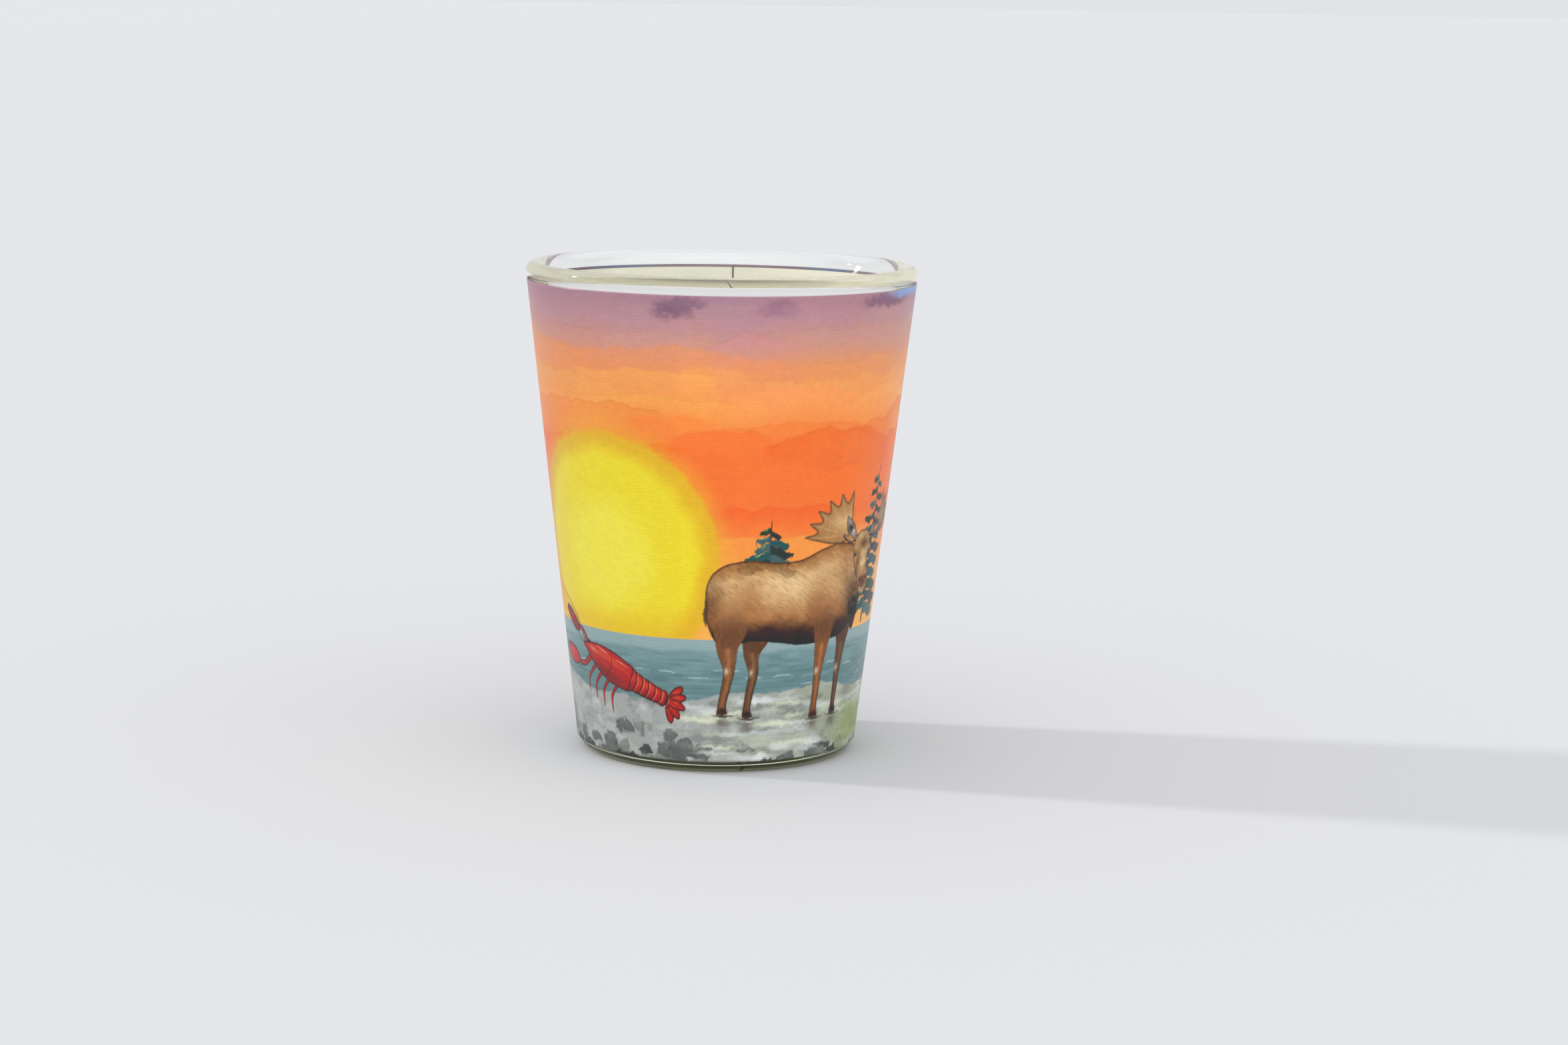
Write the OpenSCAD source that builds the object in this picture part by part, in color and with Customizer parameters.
// Souvenir shot glass: a clear, thick-bottomed tumbler with a printed film wound once round it.
// Millimetres, +Z up. The origin is the centre of the foot, on the surface the glass stands on.
// The picture faces -Y and the film's ends meet near +Y.

/* [Glass] */
// Overall height
glass_h = 60; // [54:0.5:70]
// Outer diameter of the rim
rim_d = 48; // [46:0.5:52]
// Outer diameter the wall would have where it meets the table
foot_d = 33.6; // [30:0.2:38]
// Thickness of the wall just above the floor
wall_low = 3.2; // [2.6:0.1:4]
// Thickness of the solid bottom
floor_t = 11; // [6:0.5:16]

/* [Rim] */
// Radius of the lip's outer edge
lip_out_r = 1.1; // [0.9:0.05:1.2]
// Radius of the lip's inner edge
lip_in_r = 1.7; // [1.3:0.05:1.9]
// How far the lip stands out past the wall
lip_proud = 0.2; // [0.1:0.05:0.4]

/* [Foot] */
// Radius of the rounded corner between the wall and the foot
foot_round = 1.6; // [1:0.1:2.4]
// Radius of the cavity's bottom corner
floor_round = 4.5; // [2:0.5:6]
// Radius of the hollow under the foot
punt_r = 12.5; // [8:0.5:13]
// Depth of the hollow under the foot
punt_depth = 0.9; // [0.4:0.1:2]

/* [Wrap] */
// Height of the film's lower edge
wrap_low = 1.5; // [1.5:0.1:4]
// Bare glass between the film's upper edge and the top of the rim
wrap_margin = 2.1; // [2.1:0.1:6]
// Thickness of the opaque adhesive backing
backing_t = 0.1; // [0.05:0.05:0.2]
// Thickness of the printed film
print_t = 0.15; // [0.1:0.05:0.2]
// Direction of the seam, turned from the front (-Y) towards +X, in degrees
seam_at = 176.5; // [90:0.5:270]
// Width of the slit between the backing's two ends
seam_gap = 0.4; // [0.2:0.1:1]
// How far the film's outer end laps over its inner end
seam_lap = 2.5; // [1:0.5:6]

/* [Hidden] */
$fn = 180;

wrap_high = glass_h - wrap_margin;
crest_r = rim_d / 2 - lip_out_r;
wall_r0 = foot_d / 2;
wall_r1 = rim_d / 2 - lip_proud;
wall_lean = atan((wall_r1 - wall_r0) / glass_h);
seam_turn = seam_at - 90;

// Outer radius of the glass wall at height z
function wall_r(z) = wall_r0 + (wall_r1 - wall_r0) * z / glass_h;
// Angle that an arc takes at the film's middle height
function arc_angle(length) = length / wall_r(glass_h / 2) * 180 / PI;
// Middle of a circle that rounds the corner between a level at height z and the outer wall
function foot_centre(r) = [wall_r(r) - r / cos(wall_lean), r];

// The cavity's wall runs from the floor to where it meets the lip's inner edge as a tangent
lip_in_c = [crest_r, glass_h - lip_in_r];
cavity_r0 = wall_r(floor_t) - wall_low;
run = lip_in_c - [cavity_r0, floor_t];
cavity_lean = atan(run[0] / run[1]) - asin(lip_in_r / norm(run));
cavity_top = lip_in_c + lip_in_r * [-cos(cavity_lean), sin(cavity_lean)];
floor_c = [
    cavity_r0 + floor_round * (tan(cavity_lean) - 1 / cos(cavity_lean)),
    floor_t + floor_round
];
floor_end = floor_c + floor_round * [cos(cavity_lean), -sin(cavity_lean)];
foot_c = foot_centre(foot_round);
foot_end = foot_c + foot_round * [cos(wall_lean), -sin(wall_lean)];
neck_z = glass_h - lip_out_r;
punt_ball_r = (punt_r * punt_r + punt_depth * punt_depth) / (2 * punt_depth);

// Half of a disc, to the left (side = -1) or the right (side = 1) of its middle
module half_disc(r, side) {
    intersection() {
        circle(r = r);
        translate([side < 0 ? -r : 0, -r]) square([r, 2 * r]);
    }
}

// The glass cut through its axis, one side only
module glass_section() {
    difference() {
        union() {
            polygon([
                [0, 0],
                [foot_c[0], 0],
                foot_end,
                [wall_r(neck_z), neck_z],
                [crest_r, neck_z],
                lip_in_c,
                cavity_top,
                floor_end,
                [floor_c[0], floor_t],
                [0, floor_t]
            ]);
            translate(foot_c) circle(r = foot_round);
            translate([crest_r, neck_z]) half_disc(lip_out_r, 1);
            translate(lip_in_c) half_disc(lip_in_r, -1);
        }
        translate(floor_c) circle(r = floor_round);
        translate([0, punt_depth - punt_ball_r]) circle(r = punt_ball_r);
    }
}

// A layer that lies on the wall between two heights, cut through the axis
module layer_section(lift, thick) {
    polygon([
        [wall_r(wrap_low) + lift, wrap_low],
        [wall_r(wrap_low) + lift + thick, wrap_low],
        [wall_r(wrap_high) + lift + thick, wrap_high],
        [wall_r(wrap_high) + lift, wrap_high]
    ]);
}

// Clear tumbler with a rolled lip, a heavy bottom and a shallow hollow under the foot
module glass_body() {
    color([0.86, 0.93, 0.9, 0.45]) rotate_extrude() glass_section();
}

// Opaque adhesive layer that holds the film to the glass, with a slit at the seam
module wrap_backing() {
    slit = arc_angle(seam_gap);
    color([0.87, 0.86, 0.75])
        rotate([0, 0, seam_turn + slit / 2])
            rotate_extrude(angle = 360 - slit) layer_section(0, backing_t);
}

// Printed film, once round, with its outer end lapped over its inner end
module wrap_print() {
    lap = arc_angle(seam_lap);
    color([0.95, 0.55, 0.35]) {
        rotate_extrude() layer_section(backing_t, print_t);
        rotate([0, 0, seam_turn - lap / 2])
            rotate_extrude(angle = lap) layer_section(backing_t + print_t / 2, print_t * 1.5);
    }
}

glass_body();
wrap_backing();
wrap_print();
